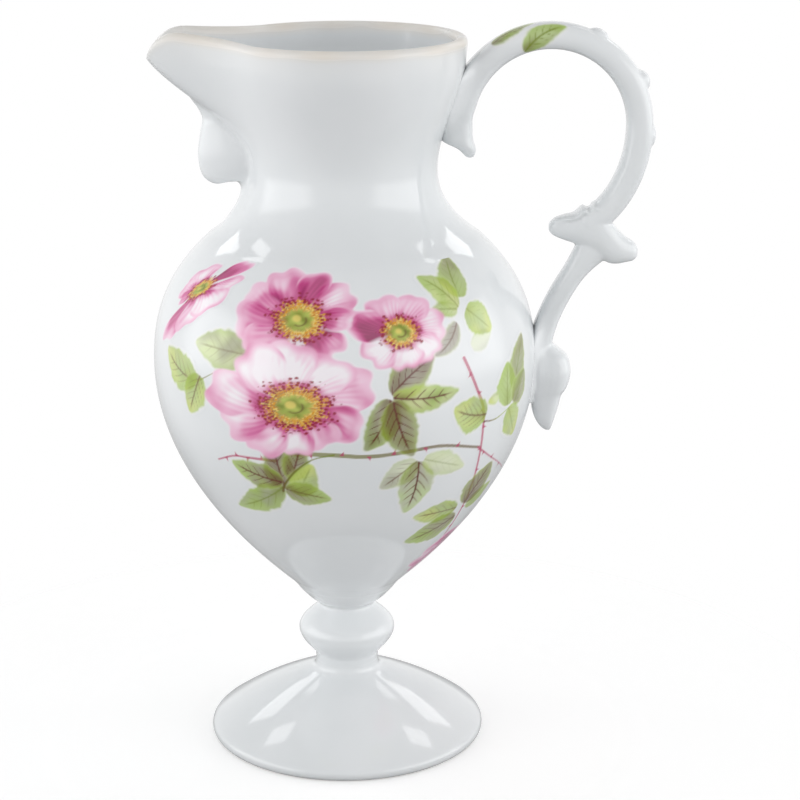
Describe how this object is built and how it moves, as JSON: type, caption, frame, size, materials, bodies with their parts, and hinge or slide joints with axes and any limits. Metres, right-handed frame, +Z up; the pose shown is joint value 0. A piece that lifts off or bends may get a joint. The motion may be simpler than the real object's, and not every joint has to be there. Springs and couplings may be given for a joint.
{
  "type": "milk jug",
  "caption": "Footed porcelain milk jug with a pear-shaped bowl, flared neck, beaked spout with a drop below it, and a scrolled handle, for holding and pouring milk or cream.",
  "frame": {"origin": "centre of the ring that stands on the table, on the axis of the bowl", "axes": "+Z up along the axis of the bowl, +X towards the handle, -X towards the spout"},
  "size_m": [0.131, 0.1008, 0.1941],
  "materials": {
    "porcelain": "clear gloss glaze over white porcelain",
    "slip": "fired porcelain slip under the glaze"
  },
  "bodies": {
    "root": {"foot": "porcelain", "foot_slip": "slip", "stem": "porcelain", "stem_slip": "slip", "body": "porcelain", "spout": "porcelain", "spout_slip": "slip", "spout_drop": "porcelain", "handle_loop": "porcelain", "handle_thorns": "porcelain", "handle_knuckle": "porcelain", "handle_strut": "porcelain", "handle_root_slip": "slip", "handle_base_slip": "slip"}
  },
  "joints": []
}
